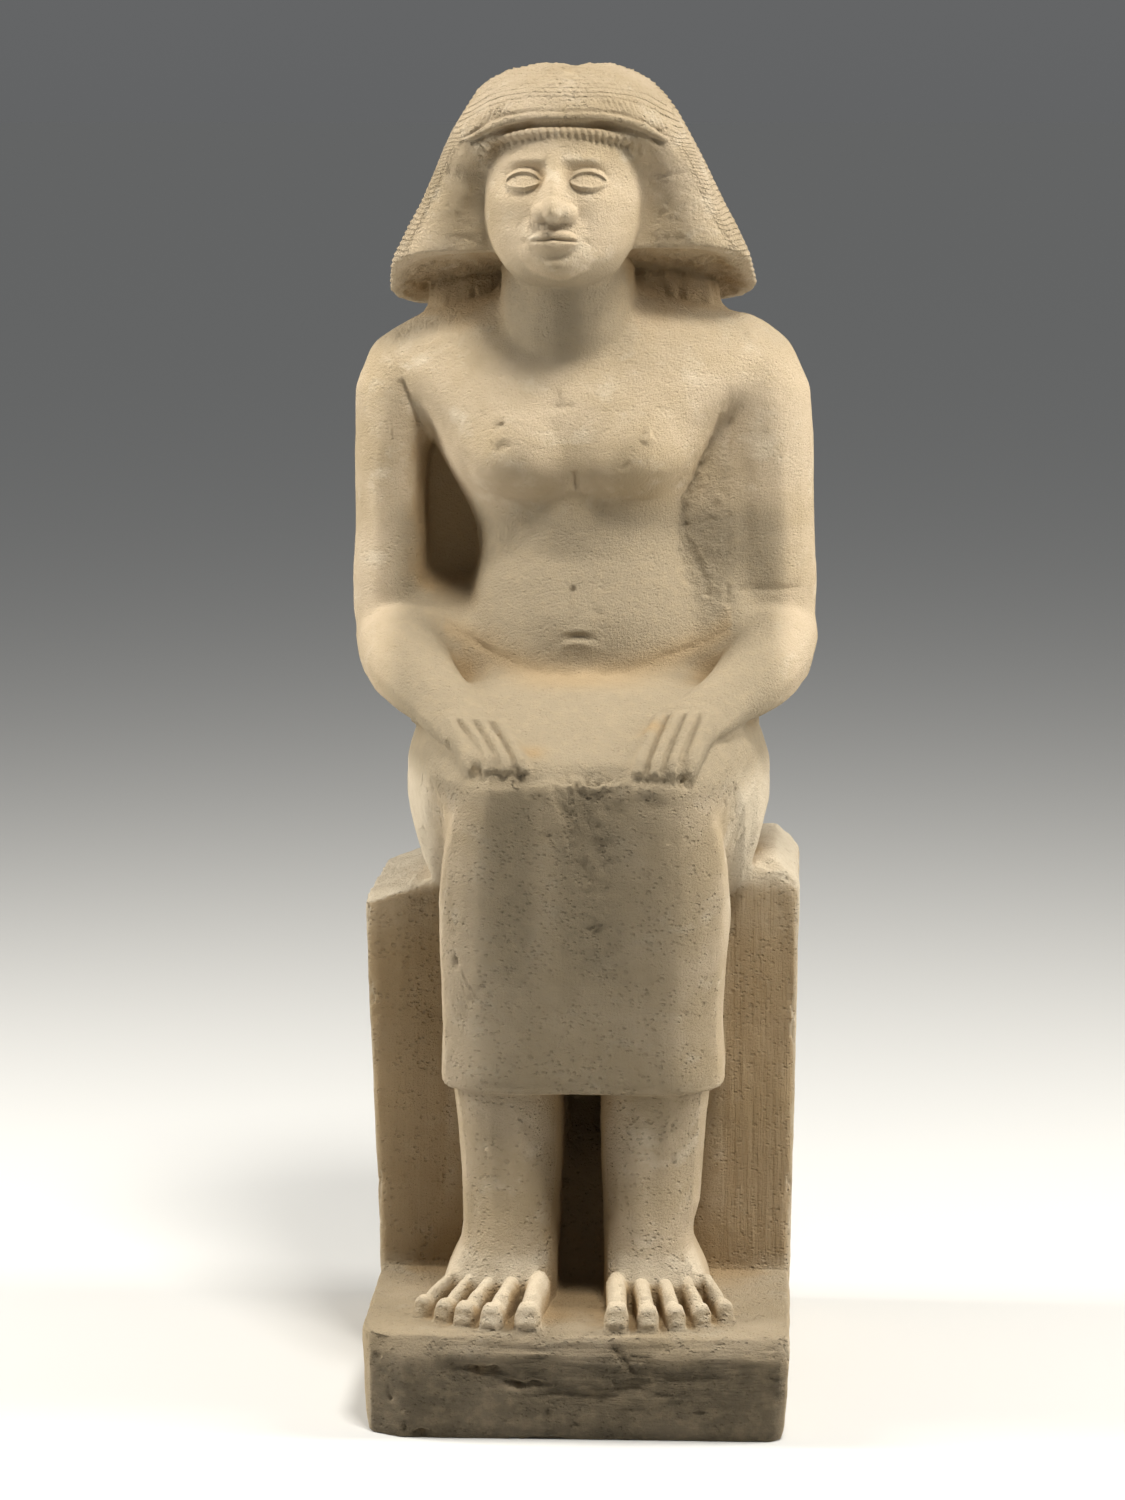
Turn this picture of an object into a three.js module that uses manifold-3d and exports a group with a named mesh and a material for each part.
// A seated man in a flaring wig and a long kilt, both hands flat on his lap, on a plain block seat.
// The figure, the seat and the low base are carved from one block of limestone, so the model is one solid.
// Units are millimetres. +Z is up and the figure faces -Y. The origin is the middle of the base's underside.
import * as THREE from "three";
import { mergeVertices } from "three/addons/utils/BufferGeometryUtils.js";
import Module from "manifold-3d";

// Driving dimensions of the block.
const BASE_HEIGHT = 43;
const BASE_DEPTH = 235;
const BASE_HALF_WIDTH = 89;
const SEAT_TOP = 221;
const SEAT_LEFT = -95.8;
const SEAT_RIGHT = 91.6;
const SEAT_FRONT = 0;
const BACK = 117;

// Driving heights of the figure, each measured from the underside of the base.
const HEM = 136;
const LAP = 294;
const ARMPIT = 422;
const SHOULDER_TOP = 451;
const CHIN = 466;
const WIG_TOP = 560;

// How far the trunk and the head stand off the middle of the block: the carver worked by eye.
const TRUNK_X = -3.5;
const HEAD_X = -9;

const LIMESTONE = new THREE.MeshStandardMaterial({ color: 0xc9b48f, roughness: 0.92, metalness: 0 });

const wasm = await Module();
wasm.setup();

const { cos, sin, abs, sign, exp, max, PI } = Math;
const degrees = THREE.MathUtils.degToRad;
const vector = (x, y, z) => new THREE.Vector3(x, y, z);
const bell = (x) => exp(-x * x);
const softStep = THREE.MathUtils.smoothstep;

// A closed skin over rings that have the same number of points, each listed the same way round.
function skin(rings) {
  const count = rings[0].length;
  const points = rings.flat();
  const index = [];
  for (let r = 0; r + 1 < rings.length; r++) {
    for (let i = 0; i < count; i++) {
      const next = (i + 1) % count;
      const [a, b, c, d] = [r * count + i, r * count + next, (r + 1) * count + i, (r + 1) * count + next];
      index.push(a, b, d, a, d, c);
    }
  }
  for (const [first, flip] of [[0, true], [(rings.length - 1) * count, false]]) {
    const ring = points.slice(first, first + count);
    const middle = ring.reduce((sum, p) => sum.add(p), vector(0, 0, 0)).divideScalar(count);
    points.push(middle);
    for (let i = 0; i < count; i++) {
      const [a, b] = [first + i, first + ((i + 1) % count)];
      index.push(points.length - 1, flip ? b : a, flip ? a : b);
    }
  }
  // A skin that comes out inside out is turned, so every body faces outwards whichever way its rings run.
  const volume = index.reduce((sum, _, k) => {
    if (k % 3) return sum;
    const [a, b, c] = [points[index[k]], points[index[k + 1]], points[index[k + 2]]];
    return sum + a.dot(vector(0, 0, 0).crossVectors(b, c));
  }, 0);
  if (volume < 0) index.reverse();
  return new THREE.BufferGeometry().setFromPoints(points).setIndex(index);
}

// A ring about a centre: an ellipse drawn towards a rectangle as squareness grows past 2.
// `half` reaches along the across vector, `far` and `near` forwards and backwards along the other one.
function ring({ centre, across, along, half, far, near, square = 2, squareFar = square, sides = 24 }) {
  return Array.from({ length: sides }, (_, i) => {
    const angle = (2 * PI * (i + 0.5)) / sides;
    const power = 2 / (sin(angle) > 0 ? squareFar : square);
    const [c, s] = [cos(angle), sin(angle)].map((v) => sign(v) * abs(v) ** power);
    return centre.clone().addScaledVector(across, half * c).addScaledVector(along, (s > 0 ? far : near) * s);
  });
}

// Rows of numbers run through a smooth curve, and read back at even steps between the first row and the last.
function smoothRows(rows, steps) {
  const width = rows[0].length;
  const curves = [];
  for (let k = 0; k < width; k += 3) {
    const points = rows.map((row) => vector(row[k], row[k + 1] ?? 0, row[k + 2] ?? 0));
    curves.push(new THREE.CatmullRomCurve3(points, false, "catmullrom", 0.5));
  }
  return Array.from({ length: steps + 1 }, (_, i) => {
    const read = curves.flatMap((curve) => curve.getPoint(i / steps).toArray());
    return read.slice(0, width);
  });
}

// A body stacked from level rings. A row is height, middle x, half width, front y, back y, the squareness
// of its front half and that of its back half.
function stack(rows, steps, sides) {
  const full = rows.map((row) => (row.length > 6 ? row : [...row, row[5]]));
  const rings = smoothRows(full, steps).map(([z, x, half, front, back, square, squareFar]) => {
    const y = (front + back) / 2;
    const reach = (back - front) / 2;
    return ring({
      centre: vector(x, y, z), across: vector(1, 0, 0), along: vector(0, 1, 0),
      half, far: reach, near: reach, square, squareFar, sides,
    });
  });
  return skin(rings);
}

// A limb along a path. A row is a point x, y, z, then its half width and half thickness there.
// `up` is the way its thickness faces.
function limb(rows, steps, sides, up, square = 2) {
  const read = smoothRows(rows, steps);
  const at = (i) => vector(...read[i].slice(0, 3));
  const rings = read.map(([x, y, z, half, thick], i) => {
    const forward = at(Math.min(i + 1, steps)).sub(at(max(i - 1, 0))).normalize();
    const across = forward.clone().cross(up).normalize();
    const along = across.clone().cross(forward).normalize();
    return ring({ centre: vector(x, y, z), across, along, half, far: thick, near: thick, square, sides });
  });
  return skin(rings);
}

// A squared block stacked from level rings whose corners are cut off a little.
// A row is height, left x, right x, front y and back y.
function slab(rows, corner) {
  const rings = rows.map(([z, left, right, front, back]) => {
    const outline = [
      [right, front + corner], [right, back - corner], [right - corner, back], [left + corner, back],
      [left, back - corner], [left, front + corner], [left + corner, front], [right - corner, front],
    ];
    return outline.map(([x, y]) => vector(x, y, z));
  });
  return skin(rings);
}

// Moves each point of a geometry by what a function of the point returns.
function sculpt(geometry, move) {
  const position = geometry.getAttribute("position");
  const point = vector(0, 0, 0);
  for (let i = 0; i < position.count; i++) {
    point.fromBufferAttribute(position, i);
    point.add(move(point));
    position.setXYZ(i, point.x, point.y, point.z);
  }
  return geometry;
}

// A geometry as a closed solid, ready to be joined or cut.
function solid(geometry) {
  const bare = geometry.clone();
  bare.deleteAttribute("normal");
  bare.deleteAttribute("uv");
  const merged = mergeVertices(bare, 1e-4);
  const vertProperties = new Float32Array(merged.getAttribute("position").array);
  const triVerts = new Uint32Array(merged.index.array);
  return new wasm.Manifold(new wasm.Mesh({ numProp: 3, vertProperties, triVerts }));
}

const joined = (geometries) => geometries.map(solid).reduce((a, b) => a.add(b));

// A box between two corners.
function block(low, high) {
  const size = high.map((v, k) => v - low[k]);
  const middle = high.map((v, k) => (v + low[k]) / 2);
  return new THREE.BoxGeometry(...size).translate(...middle);
}

// Block, seat and base.

// The low base, a little wider at its top, with worn edges and corners.
function base() {
  const [front, left, right] = [-BASE_DEPTH / 2, -BASE_HALF_WIDTH, BASE_HALF_WIDTH - 0.5];
  return slab(
    [
      [0, left + 4, right - 3.5, front + 1.5, BACK - 1],
      [5, left + 2.6, right - 2, front, BACK],
      [22, left + 1.3, right - 0.8, front, BACK],
      [BASE_HEIGHT - 8, left, right, front, BACK],
      [BASE_HEIGHT - 3, left + 0.2, right - 0.3, front + 1.6, BACK],
      [BASE_HEIGHT, left + 0.8, right - 0.9, front + 5, BACK - 1],
    ],
    4,
  );
}

// What is worn off the base at its front left corner: the turn of each cut and where its tool stands.
const wornCorner = () => [[17, -100, -97.5], [59, -79.8, -125.4]].map(([turn, x, y]) =>
  new THREE.BoxGeometry(24, 70, 120).rotateZ(degrees(turn)).translate(x, y, 20));

// The block seat widens upwards. Both front corners of its top are broken away, the left one lower.
function seat() {
  const body = slab(
    [
      [BASE_HEIGHT - 8, -89, 88.3, SEAT_FRONT, BACK],
      [120, -92, 90, SEAT_FRONT, BACK],
      [SEAT_TOP - 6, SEAT_LEFT, SEAT_RIGHT, SEAT_FRONT + 0.5, BACK],
      [SEAT_TOP, SEAT_LEFT + 2, SEAT_RIGHT - 2, SEAT_FRONT + 3, BACK - 2],
    ],
    1.6,
  );
  const wedge = (x, y, z, tiltX, tiltY) =>
    new THREE.BoxGeometry(70, 190, 30).translate(0, 0, 15)
      .applyMatrix4(new THREE.Matrix4().makeRotationFromEuler(new THREE.Euler(tiltX, tiltY, 0)))
      .translate(x, y, z);
  return solid(body)
    .subtract(solid(wedge(-88, 40, 205.5, 0, degrees(-18))))
    .subtract(solid(wedge(80, -14, 213.5, degrees(13), degrees(2))))
    .subtract(solid(wedge(86.8, 50, 216, 0, degrees(45))));
}

// The space between the shins is cut past the front of the seat, above a rough step between the heels.
const legGap = () => slab(
  [
    [BASE_HEIGHT + 47, -6.5, 5.8, -70, SEAT_FRONT + 0.5],
    [BASE_HEIGHT + 56, -7.5, 6.5, -70, SEAT_FRONT + 9],
    [BASE_HEIGHT + 68, -7.5, 7, -70, SEAT_FRONT + 22],
    [HEM - 4, -7.5, 7.2, -70, SEAT_FRONT + 28],
  ],
  1.5,
);
const heelStep = () => slab(
  [
    [BASE_HEIGHT - 6, -16, 16, SEAT_FRONT - 30, SEAT_FRONT + 4],
    [BASE_HEIGHT + 4, -16, 16, SEAT_FRONT - 24, SEAT_FRONT + 4],
    [BASE_HEIGHT + 24, -16, 16, SEAT_FRONT - 12, SEAT_FRONT + 4],
    [BASE_HEIGHT + 48, -16, 16, SEAT_FRONT - 1, SEAT_FRONT + 4],
  ],
  0.5,
);

// Lower body.

// Hips, thighs and kilt as one skin: its rings run forward from the back, turn down round the knees and
// end at the hem. A row is the y, z of the ring's inner point, the angle it faces from straight up
// towards the front, its reach, its half width and its middle x.
function kilt() {
  const rows = [
    [114, 238, 0, 20, 26, -1],
    [112, 228, 0, 40, 45, -1],
    [105, 215, 0, 66, 62, -1],
    [86, 208, 0, 82, 75, -1],
    [52, 205, 0, 94, 79, -0.5],
    [18, 204, 0, 103, 78.5, 0],
    [14, 198, 13, 111, 76, 0.5],
    [16, 192, 32.5, 118, 71, 1],
    [18, 190, 45.6, 128, 64, 1.5],
    [20, 188, 52, 137.7, 57, 2],
    [20, 188, 57.4, 131.2, 58.5, 2],
    [20, 188, 66.4, 119, 61, 1.8],
    [20, 188, 82.5, 107.9, 60.5, 1.2],
    [20, 176, 90, 103.5, 59.4, 0.8],
    [20, 160, 90, 101.5, 58.8, 0.8],
    [20, 146, 90, 99.7, 59.5, 0.8],
    [20, HEM, 90, 98, 60, 0.8],
  ];
  const rings = smoothRows(rows, 17).map(([y, z, angle, reach, half, x]) => {
    const along = vector(0, -sin(degrees(angle)), cos(degrees(angle)));
    return ring({
      centre: vector(x, y, z).addScaledVector(along, reach / 2), across: vector(-1, 0, 0), along,
      half, far: reach / 2, near: reach / 2, square: 2.5 + softStep(angle, 0, 60) * 1.6, sides: 26,
    });
  });
  // The cloth dips a little between the shins and is stretched over both knees.
  return sculpt(skin(rings), (p) => {
    const front = softStep(-p.y, 60, 80);
    const dip = 2.2 * bell((p.x - 1) / 17) * softStep(p.z, HEM - 20, 230) * front;
    return vector(0, dip, 0);
  });
}

// A shin that spreads forward into its foot, with its back in the seat.
// `side` is -1 on the left of the picture and 1 on the right.
function leg(side) {
  const body = stack(
    [
      [HEM + 8, side * 31.5, 23.5, -72, 4, 2.8],
      [HEM - 7, side * 30.8, 23, -70, 4, 2.7],
      [108, side * 30, 22, -67, 4, 2.6],
      [92, side * 29.8, 21.2, -65, 4, 2.6],
      [78, side * 30.2, 21.2, -65, 4, 2.6],
      [68, side * 31, 22, -69, 4, 2.6],
      [60, side * 33, 23.6, -75, 4, 2.8],
      [54, side * 34.5, 25, -79, 4, 3],
      [48, side * 35.5, 26, -80.5, 4, 3],
      [BASE_HEIGHT - 3, side * 36, 26.5, -82, 4, 3],
    ],
    10, 16,
  );
  // The ball of the foot slants: its outer edge lies further back than the root of the big toe.
  // The heel is narrower than the ball.
  const narrower = side > 0 ? 7 : 2.5;
  return sculpt(body, (p) => {
    const low = 1 - softStep(p.z, 58, 72);
    const heel = (1 - softStep(p.z, 62, 88)) * softStep(p.y, -82, -50) * softStep(abs(p.x), 28, 48);
    return vector(-side * narrower * heel, 0.3 * (abs(p.x) - 20) * low * softStep(-p.y, 40, 70), 0);
  });
}

// Where the toes of each foot end, big toe first: x and y.
const TOE_TIPS = {
  left: [[-19.5, -110], [-35.2, -108.5], [-46.8, -103], [-55.8, -95.5], [-65.8, -87]],
  right: [[17.5, -108.5], [30.8, -107], [42.4, -103.5], [53, -97], [62.8, -88.5]],
};
const TOE_HALF_WIDTHS = [5.7, 5, 4.7, 4.4, 3.9];

// Five long toes, parted and a little spread, from the ball of the foot to the base.
function toes(side, tips) {
  return tips.map(([x, y], k) => {
    const half = TOE_HALF_WIDTHS[k];
    const [rootX, rootY] = [side * (16.5 + 9 * k), -70 + 2.5 * k];
    const low = BASE_HEIGHT - 2;
    const at = (t, top, width) => [
      rootX + (x - rootX) * t, rootY + (y - rootY) * t, (low + top) / 2, half * width, (top - low) / 2,
    ];
    const lower = 0.7 * k;
    return limb(
      [
        at(0, 60 - lower, 0.9),
        at(0.4, 57.5 - lower, 0.74),
        at(0.7, 54 - lower, 0.76),
        at(0.9, 52.5 - lower, 1),
        at(1, 48 - lower, 0.76),
      ],
      4, 8, vector(0, 0, 1), 2.6,
    );
  });
}

// Trunk and arms.

// The trunk from the lap to the root of the neck, with the breast and the shoulders on it.
function trunk() {
  const x = TRUNK_X;
  const body = stack(
    [
      [LAP - 12, 0, 54, -6, 104, 2.6, 2.4],
      [304, 0, 54.5, -8, 101, 2.6, 2.3],
      [320, 0.5, 53.2, -7, 95, 2.5, 2.3],
      [337, -1.5, 50, -2, 88, 2.4, 2.3],
      [352, -2, 46.3, 4, 84, 2.3, 2.3],
      [366, -4, 46.5, 5.5, 84, 2.3, 2.3],
      [378, -5.5, 51, 5.5, 86, 2.4, 2.4],
      [386, -6, 55, 3, 88, 2.4, 2.4],
      [396, -6.5, 60, 2, 90, 2.5, 2.5],
      [410, -6, 67, 3, 91, 2.6, 2.6],
      [ARMPIT, x - 1, 80, 5, 91, 2.7, 2.7],
      [432, x, 89, 9, 89, 2.7, 2.7],
      [441, x, 88, 14, 86, 2.6, 2.6],
      [SHOULDER_TOP - 3, x + 1, 82, 18, 84, 2.5, 2.5],
      [SHOULDER_TOP + 3, x + 0.5, 69, 22, 81, 2.3, 2.3],
      [460, x - 3, 44, 24, 75, 2.1, 2.1],
      [470, HEAD_X, 24, 20, 66, 2, 2],
    ],
    20, 26,
  );
  // Each breast swells forward and ends below in a crisp fold.
  const breast = (p, side) => {
    const across = (p.x - (TRUNK_X - 2.5 + side * 30)) / 27;
    const rise = (p.z - 393) / (p.z > 393 ? 30 : 11);
    return 10.5 * bell(across) * bell(rise);
  };
  // A soft groove runs down the breastbone, and the belly is full above the kilt.
  return sculpt(body, (p) => {
    const front = softStep(45 - p.y, 10, 30);
    const groove = 1.6 * bell((p.x - TRUNK_X) / 5) * bell((p.z - 392) / 16);
    const belly = 3 * bell((p.x + 1) / 34) * bell((p.z - 322) / 20);
    return vector(0, front * (groove - belly - breast(p, -1) - breast(p, 1)), 0);
  });
}

// The short neck stands forward of the chest and meets it in a round collar line.
const neck = () => limb(
  [
    [HEAD_X, 43, 428, 29, 27],
    [HEAD_X, 38, 444, 30, 29.5],
    [HEAD_X, 32, 460, 29, 30],
    [HEAD_X, 28, 482, 28, 29],
  ],
  5, 20, vector(0, 1, 0), 2.2,
);

// One arm: the upper arm hangs straight, and the forearm lies forward and inward along the thigh.
// `middle` is the upper arm's middle x and `half` its half width: the two arms differ a little.
// `outer` is the forearm's outer edge from the elbow to the wrist, and `lift` raises the wrist.
// `bulk` is how much fuller the broader arm is at the shoulder.
function arm(side, { middle, half, outer, lift }) {
  const m = side * middle;
  const bulk = 0.45 * (half - 15.5);
  const upper = limb(
    [
      [m - side * 32, 52, 440, 13 + bulk, 20],
      [m - side * 15, 51, 436, 18 + bulk, 27],
      [m - side * 5.5, 50, 424, 20.5 + bulk, 28],
      [m - side * 2, 49, 406, half + 1.8, 27],
      [m - side * 0.3, 48, 382, half + 0.3, 24],
      [m + 0.5, 47, 355, half + 0.3, 23],
      [m + 0.4, 47, 332, half + 1.4, 24],
      [m - side * 1.5, 46, 314, half + 0.5, 21],
      [m - side * 4, 44, 300, half - 5, 14],
    ],
    10, 12, vector(0, 1, 0), 2.3,
  );
  const between = (out, inner, y, z, thick) => [side * (out + inner) / 2, y, z, (out - inner) / 2, thick];
  const lower = limb(
    [
      between(outer[0] - 5, 66, 64, 314, 12),
      between(outer[0], 62, 53, 314.5, 19),
      between(outer[1], 62, 36, 313, 20.5),
      between(outer[2], 59, 14, 307.5, 17.5),
      between(outer[3], 53, -4, 300, 14),
      between(outer[4], 46, -21, 292.5 + lift / 2, 10.5),
      [side * 53, -35, 287.5 + lift, 13.4, 8],
      [side * 48, -45, 284 + lift, 12.5, 6],
    ],
    8, 12, vector(side * 0.3, 0, 1), 2.3,
  );
  return [upper, lower];
}

// A hand laid flat at the knee: its back, four fingers side by side and the stub of a broken thumb.
// `roots` and `tips` are the first finger's x at each end, and `reaches` is where each finger ends.
function hand(side, { roots, tips, reaches, lift }) {
  const up = vector(0, -0.25, 1);
  const palm = limb(
    [
      [side * (roots + 17.5), -28, 288.5 + lift, 10, 5],
      [side * (roots + 14), -39, 286.5 + lift, 13.5, 7],
      [side * (roots + 11.5), -47, 284 + lift, 14, 6.2],
      [side * (roots + 9.5), -55, 281 + lift * 0.8, 13.2, 5],
    ],
    4, 12, up, 2.8,
  );
  const fingers = reaches.map((reach, k) => {
    const [root, tip] = [side * (roots + 6.8 * k), side * (tips + 7.1 * k)];
    const at = (t, z, half, thick) => [root + (tip - root) * t, -48 - (reach - 48) * t, z, half, thick];
    return limb(
      [
        at(0, 285.5 + lift, 3.5, 5.4),
        at(0.5, 279.5 + lift / 2, 3.5, 5.4),
        at(0.88, 274, 3.4, 5),
        at(1, 271, 2.6, 3),
      ],
      3, 8, up, 2.4,
    );
  });
  const thumb = limb(
    [
      [side * (roots - 1), -52, 286, 3.6, 4],
      [side * (roots - 7), -64, 281, 3.4, 4],
      [side * (roots - 12), -74, 277.5, 3, 3.2],
    ],
    2, 8, up,
  );
  return [palm, ...fingers, thumb];
}

// Stone left standing between the arms and the waist. It is deep behind the left arm and shallow behind the
// right one. Below, it swells forward and joins each forearm to the belly.
function webs() {
  return [
    slab(
      [
        [280, -76, -42, 6, 66], [308, -75, -42, 9, 66], [321, -74, -44, 16, 66],
        [332, -74, -42, 30, 66], [341, -80, -40, 52, 66], [434, -84, -56, 58, 66],
      ],
      3,
    ),
    slab(
      [
        [280, 42, 74, 6, 66], [312, 42, 72, 9, 66], [324, 42, 70, 15, 66],
        [336, 40, 68, 21, 66], [346, 38, 68, 25, 66], [400, 38, 70, 27, 66], [432, 54, 74, 32, 66],
      ],
      3,
    ),
  ];
}

// Head and wig.

const FACE_TURN = degrees(-4);
const FACE_TILT = degrees(7);
const HEAD_HALF_HEIGHT = 42;
const EYE_HALF_WIDTH = 6.9;
const EYE_X = 2 * EYE_HALF_WIDTH;
const BROW_V = 8.5;
const NOSE_V = -16.5;
const MOUTH_V = -25.3;

// How far the face stands out from a plain egg, at u across and v up from the eye line.
// The places follow the usual rule of five eye widths across and even thirds down.
function faceRelief(u, v) {
  const a = abs(u);
  const brow = 1.1 * bell((v - BROW_V + 0.006 * (a - 12) ** 2) / 3) * softStep(26 - a, 2, 10);
  const socket = -3.6 * bell((a - EYE_X) / 9) * bell((v - 0.5) / 5.2);
  const eyeball = 3 * max(0, 1 - ((a - EYE_X) / 8.2) ** 2 - (v / 4.4) ** 2) ** 0.5;
  const bridge = softStep(9 - v, 0, 25);
  const ridge = (3 + 7.6 * bridge) * bell(u / (3.4 + 1.8 * bridge)) * softStep(v, NOSE_V - 3.2, NOSE_V + 1.4);
  const root = softStep(14 - v, 0, 9);
  const wings = 4.6 * bell((a - 5.4) / 2.7) * bell((v - NOSE_V - 1.6) / 3.1);
  const muzzle = 2.6 * bell(u / 13) * bell((v - MOUTH_V) / 7.5);
  const upperLip = 2.1 * bell((v - MOUTH_V - 2.3 + 0.012 * u * u) / 1.9) * softStep(13 - a, 0, 6);
  const lowerLip = 2.3 * bell((v - MOUTH_V + 2.9 - 0.014 * u * u) / 2.1) * softStep(11.5 - a, 0, 6);
  const chin = 2.6 * bell(u / 9.5) * bell((v + 37) / 4.6);
  const cheek = 1.5 * bell((a - 18) / 8) * bell((v + 11) / 9);
  return brow + socket + eyeball + ridge * root + wings + muzzle + upperLip + lowerLip + chin + cheek;
}

// The head as an egg of level rings, closer together over the features, then turned and tilted.
// A row is v, half width, how far the front and the back reach.
function head() {
  const egg = [
    [-42, 9, 20, 6], [-38, 19, 27, 14], [-32, 25.5, 30, 22], [-22, 31, 31, 28], [-8, 34.2, 31.5, 34],
    [6, 35, 31, 37], [18, 34.5, 29.5, 37], [30, 29, 24, 33], [38, 19, 15, 24], [42, 6, 5, 9],
  ];
  const levels = [-42, -39];
  for (let v = -35.6; v <= 12; v += 2.6) levels.push(v);
  levels.push(17, 24, 33, 42);
  const fine = smoothRows(egg, 200);
  // Columns of points, closer together on the face than round the back.
  const columns = 24;
  const backSides = 5;
  const angles = [];
  for (let i = 0; i < columns; i++) {
    const s = (2 * i) / columns - 1;
    angles.push(1.5 * PI + (PI / 2) * (0.56 * s + 0.44 * s ** 3));
  }
  for (let i = 0; i < backSides; i++) angles.push((PI * i) / backSides);
  const rings = levels.map((v) => {
    const [, half, front, back] = fine.find((row) => row[0] >= v - 1e-6) ?? fine.at(-1);
    return angles.map((angle) => {
      const u = half * sign(cos(angle)) * abs(cos(angle)) ** 0.92;
      const y = (sin(angle) < 0 ? front : back) * sin(angle);
      const facing = softStep(-sin(angle), 0.1, 0.6);
      return vector(u, y - facing * faceRelief(u, v), v);
    });
  });
  return skin(rings)
    .applyMatrix4(new THREE.Matrix4().makeRotationX(-FACE_TILT))
    .applyMatrix4(new THREE.Matrix4().makeRotationZ(FACE_TURN))
    .translate(HEAD_X - 1, 10, CHIN + HEAD_HALF_HEIGHT);
}

// The wig by height, from its flaring ends to its crown: height, middle x, half width, front y and back y.
const WIG_ROWS = [
  [446, -8, 83, 10, 96], [466, -8, 79.8, 7.5, 95.5], [482, -7.4, 74.8, 5, 95], [494, -7.2, 68.6, 2.5, 93.5],
  [506, -7.2, 62.2, -0.5, 91.5], [519, -7.4, 56.5, -7, 89], [530, -7.8, 51, -15.5, 86.5],
  [538, -7.8, 46.8, -19, 84], [546, -8.2, 41.6, -14, 79.5], [552, -8.5, 35.8, -7, 73.5],
  [557, -8.4, 27.5, 3, 67], [WIG_TOP, -5.6, 15, 17, 55],
];
const RIM = 6.5;
const RIM_RELIEF = 2.2;
const ROLL_BOTTOM = 536.5;

// The wig is a flaring mass. Its flat front is sunk a little inside a rim that runs up both sides and over
// the forehead, and its ends are cut by one plane that falls towards the back.
function wig() {
  const mass = stack(
    WIG_ROWS.map(([z, x, half, front, back]) => {
      const low = softStep(546 - z, 0, 30);
      return [z, x, half, front, back, 2.6 + 3.4 * low, 2.6 + 0.6 * low];
    }),
    12, 30,
  );
  const sunk = stack(
    WIG_ROWS.filter(([z]) => z < ROLL_BOTTOM).concat([[ROLL_BOTTOM, -7.8, 46, -17, 0]])
      .map(([z, x, half, front]) => [z, x, half - RIM, -60, front + RIM_RELIEF, 8]),
    6, 16,
  );
  // The sunk front ends in an arch over the forehead.
  const archCorner = (side) => slab(
    [[520, 44.5], [527, 40], [532, 34], [535, 27], [540, 12]].map(([z, inner]) => {
      const [left, right] = side < 0 ? [-60, -inner] : [inner, 60];
      return [z, left - 7.8, right - 7.8, -70, 20];
    }),
    0.5,
  );
  const front = solid(sunk).subtract(joined([archCorner(-1), archCorner(1)]));
  const below = new THREE.BoxGeometry(260, 280, 90).translate(0, 0, -45)
    .applyMatrix4(new THREE.Matrix4().makeRotationFromEuler(new THREE.Euler(degrees(-18), degrees(-1.2), 0)))
    .translate(0, 0, 484.5);
  return solid(mass).subtract(front).subtract(solid(below));
}

// The row of the man's own hair that shows between the wig and the forehead, lower at the temples.
function hairBand() {
  const band = stack(
    [
      [529.5, HEAD_X - 1, 33.5, -18.2, 40, 2.7],
      [534, HEAD_X - 1, 34.5, -18.8, 40, 2.7],
      [540, HEAD_X - 1, 33.5, -15, 40, 2.7],
    ],
    2, 24,
  );
  return sculpt(band, (p) => vector(0, 0, -6.5 * ((p.x - HEAD_X + 1) / 30) ** 2 * softStep(-p.y, -10, 5)));
}

// Rough stone left between the wig and the shoulders, behind the neck.
function neckFill() {
  return stack(
    [
      [436, TRUNK_X, 77, 36, 84, 3.2],
      [450, TRUNK_X - 2, 69, 38, 85, 3.2],
      [458, TRUNK_X - 4, 64, 40, 86, 3.2],
      [478, HEAD_X, 60, 44, 86, 3.2],
    ],
    3, 16,
  );
}

const HANDS = {
  left: { roots: 34.4, tips: 21.4, reaches: [86, 86, 84, 79.5], lift: 0 },
  right: { roots: 33.5, tips: 24.8, reaches: [88, 89, 88, 85], lift: 3 },
};
const ARMS = {
  left: { middle: 87.2, half: 15.5, outer: [101.2, 101.6, 97.4, 87.6, 74.6], lift: 0 },
  right: { middle: 77.6, half: 19.4, outer: [98, 98.8, 96, 86, 73], lift: 3 },
};
const statue = [base(), kilt(), trunk(), neck(), head(), hairBand(), neckFill(), heelStep(), ...webs()];
for (const [side, which] of [[-1, "left"], [1, "right"]]) {
  statue.push(leg(side), ...toes(side, TOE_TIPS[which]));
  statue.push(...arm(side, ARMS[which]), ...hand(side, HANDS[which]));
}

const carved = joined(statue).add(seat()).add(wig()).subtract(solid(legGap())).subtract(joined(wornCorner()));
const carvedMesh = carved.getMesh();
const geometry = new THREE.BufferGeometry()
  .setAttribute("position", new THREE.BufferAttribute(carvedMesh.vertProperties, 3))
  .setIndex(new THREE.BufferAttribute(carvedMesh.triVerts, 1));
geometry.computeVertexNormals();

const figure = new THREE.Mesh(geometry, LIMESTONE);
figure.name = "seated_statue";

const part = new THREE.Group();
part.add(figure);
export default part;
